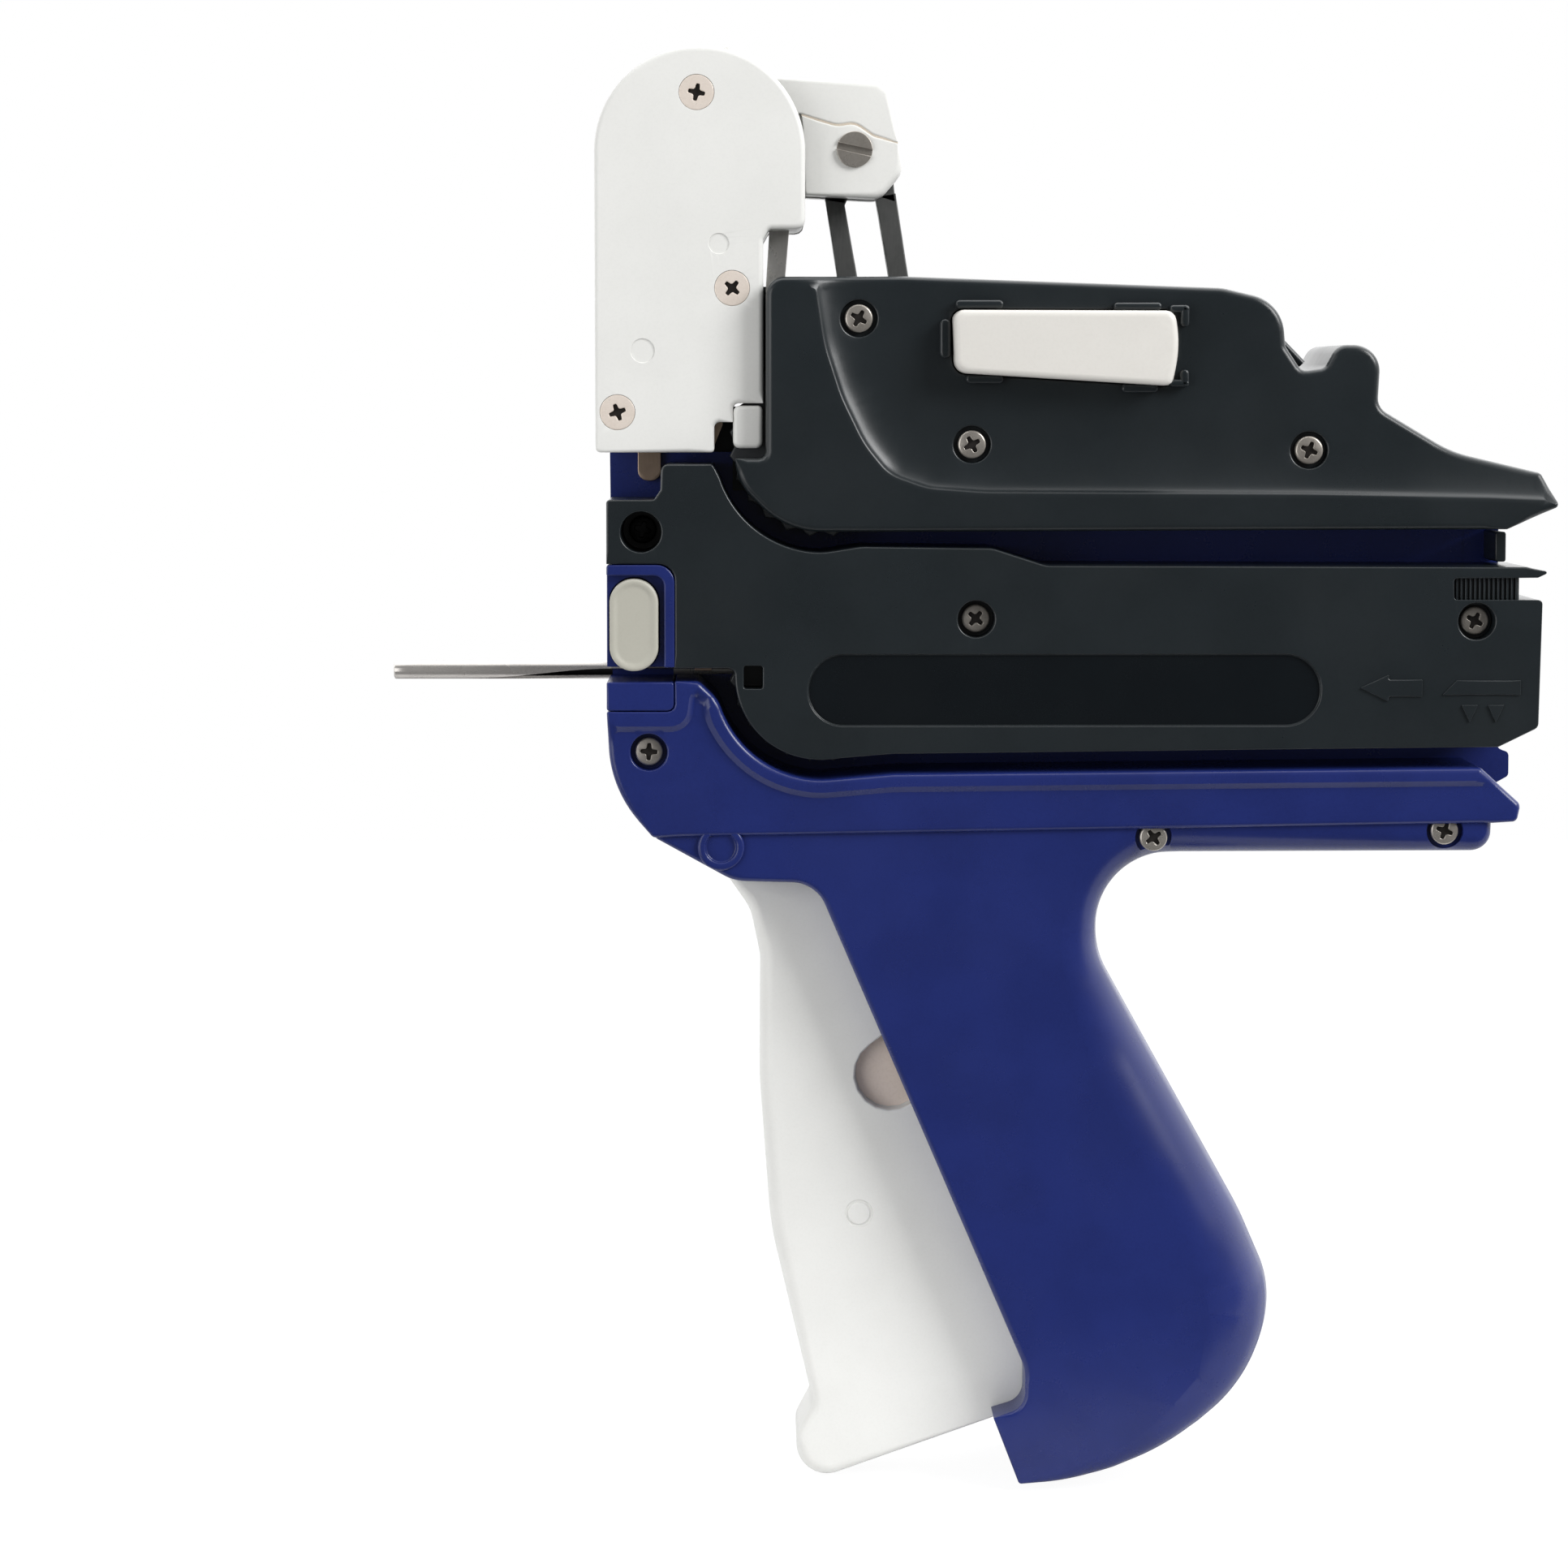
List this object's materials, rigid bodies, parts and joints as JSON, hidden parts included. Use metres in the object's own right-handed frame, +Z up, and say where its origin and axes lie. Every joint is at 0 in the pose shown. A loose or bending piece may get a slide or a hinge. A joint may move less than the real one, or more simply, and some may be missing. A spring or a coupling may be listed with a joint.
{
  "type": "garment tag attacher",
  "caption": "Pistol-grip garment tag attacher with hollow needle, white trigger and head, blue grip, black covers and two push buttons.",
  "frame": {"origin": "middle of the hand grip, on the middle plane between the two grip halves", "axes": "+Z up along the grip, -X along the needle to its tip, -Y to the side with the buttons"},
  "size_m": [0.1587, 0.0335, 0.1958],
  "materials": {
    "black_plastic": "satin",
    "blue_plastic": "satin",
    "white_plastic": "satin",
    "grey_plastic": "satin",
    "nickel_screw": "satin",
    "dark_metal": "satin",
    "tan_metal": "satin",
    "bright_steel": "polished"
  },
  "bodies": {
    "housing": {"lower_cover": "black_plastic", "upper_cover_near": "black_plastic", "upper_cover_far": "black_plastic", "rear_guide_post": "black_plastic", "grip_shell_near": "blue_plastic", "grip_shell_far": "blue_plastic", "track_plate": "blue_plastic", "upper_needle_block": "blue_plastic", "lower_needle_block": "blue_plastic", "head_plate_front": "white_plastic", "head_plate_back": "white_plastic", "head_spacer": "white_plastic", "head_latch_block": "white_plastic", "upper_cover_screws": "nickel_screw", "lower_cover_screws": "nickel_screw", "housing_screws": "nickel_screw", "head_screws": "nickel_screw", "deep_screw": "dark_metal", "upper_knife": "tan_metal", "lower_knife": "tan_metal", "needle": "bright_steel", "needle_clamp": "bright_steel", "head_strap": "bright_steel", "needle_button_spring": "bright_steel", "release_button_spring": "bright_steel", "upper_feed_shaft": "bright_steel", "lower_feed_shaft": "bright_steel", "upper_pawl_spring": "bright_steel", "lower_pawl_spring": "bright_steel", "trigger_pin": "bright_steel", "trigger_spring": "bright_steel", "drive_lever_pin": "bright_steel", "rocker_sleeve": "bright_steel"},
    "trigger": {"trigger": "white_plastic"},
    "drive_lever": {"drive_lever": "bright_steel", "drive_pins": "bright_steel"},
    "ejector_carriage": {"ejector_carriage": "bright_steel", "ejector_rod": "bright_steel"},
    "rocker": {"rocker": "white_plastic", "rocker_cheek": "white_plastic", "link_screw": "nickel_screw"},
    "fork_link": {"fork_link": "dark_metal"},
    "transfer_blade": {"transfer_blade": "tan_metal"},
    "upper_feed_wheel": {"upper_feed_wheel": "dark_metal"},
    "lower_feed_wheel": {"lower_feed_wheel": "dark_metal"},
    "needle_button": {"needle_button": "grey_plastic"},
    "release_button": {"release_button": "white_plastic"}
  },
  "joints": [
    {"name": "trigger_squeeze", "type": "hinge", "parent": "housing", "child": "trigger", "pos_m": [-0.049, 0, 0.04478], "axis": [0, -1, 0], "range_deg": [0, 12], "stiffness_Nm_per_rad": 2, "springref_deg": -5.73},
    {"name": "lever_swing", "type": "hinge", "parent": "housing", "child": "drive_lever", "pos_m": [-0.025, 0, 0.03778], "axis": [0, -1, 0], "range_deg": [0, 66.8]},
    {"name": "ejector_stroke", "type": "slide", "parent": "housing", "child": "ejector_carriage", "axis": [-1, 0, 0], "range_m": [0, 0.03669]},
    {"name": "rocker_tilt", "type": "hinge", "parent": "housing", "child": "rocker", "pos_m": [-0.05223, 0, 0.1469], "axis": [0, -1, 0], "range_deg": [0, 10.01]},
    {"name": "link_lift", "type": "slide", "parent": "housing", "child": "fork_link", "axis": [0, 0, 1], "range_m": [0, 0.00374]},
    {"name": "blade_drop", "type": "slide", "parent": "housing", "child": "transfer_blade", "axis": [0, 0, -1], "range_m": [0, 0.00115]},
    {"name": "upper_wheel_step", "type": "hinge", "parent": "housing", "child": "upper_feed_wheel", "pos_m": [-0.03522, 0, 0.09945], "axis": [0, 1, 0], "range_deg": [0, 15.01]},
    {"name": "lower_wheel_step", "type": "hinge", "parent": "housing", "child": "lower_feed_wheel", "pos_m": [-0.03522, 0, 0.06867], "axis": [0, 1, 0], "range_deg": [0, 15.01]},
    {"name": "needle_button_press", "type": "slide", "parent": "housing", "child": "needle_button", "axis": [0, 1, 0], "range_m": [0, 0.0015], "stiffness_N_per_m": 400, "springref_m": -0.002, "deforming": ["needle_button_spring"]},
    {"name": "release_button_press", "type": "slide", "parent": "housing", "child": "release_button", "axis": [0, 1, 0], "range_m": [0, 0.0015], "stiffness_N_per_m": 400, "springref_m": -0.002, "deforming": ["release_button_spring"]}
  ],
  "couplings": [
    {"joint": "lever_swing", "follows": "trigger_squeeze", "ratio": 5.5612},
    {"joint": "ejector_stroke", "follows": "trigger_squeeze", "m_per_rad": 0.17509},
    {"joint": "rocker_tilt", "follows": "trigger_squeeze", "ratio": 0.83333},
    {"joint": "link_lift", "follows": "trigger_squeeze", "m_per_rad": 0.017781},
    {"joint": "blade_drop", "follows": "trigger_squeeze", "m_per_rad": 0.005415},
    {"joint": "upper_wheel_step", "follows": "trigger_squeeze", "ratio": 1.25},
    {"joint": "lower_wheel_step", "follows": "trigger_squeeze", "ratio": 1.25}
  ]
}
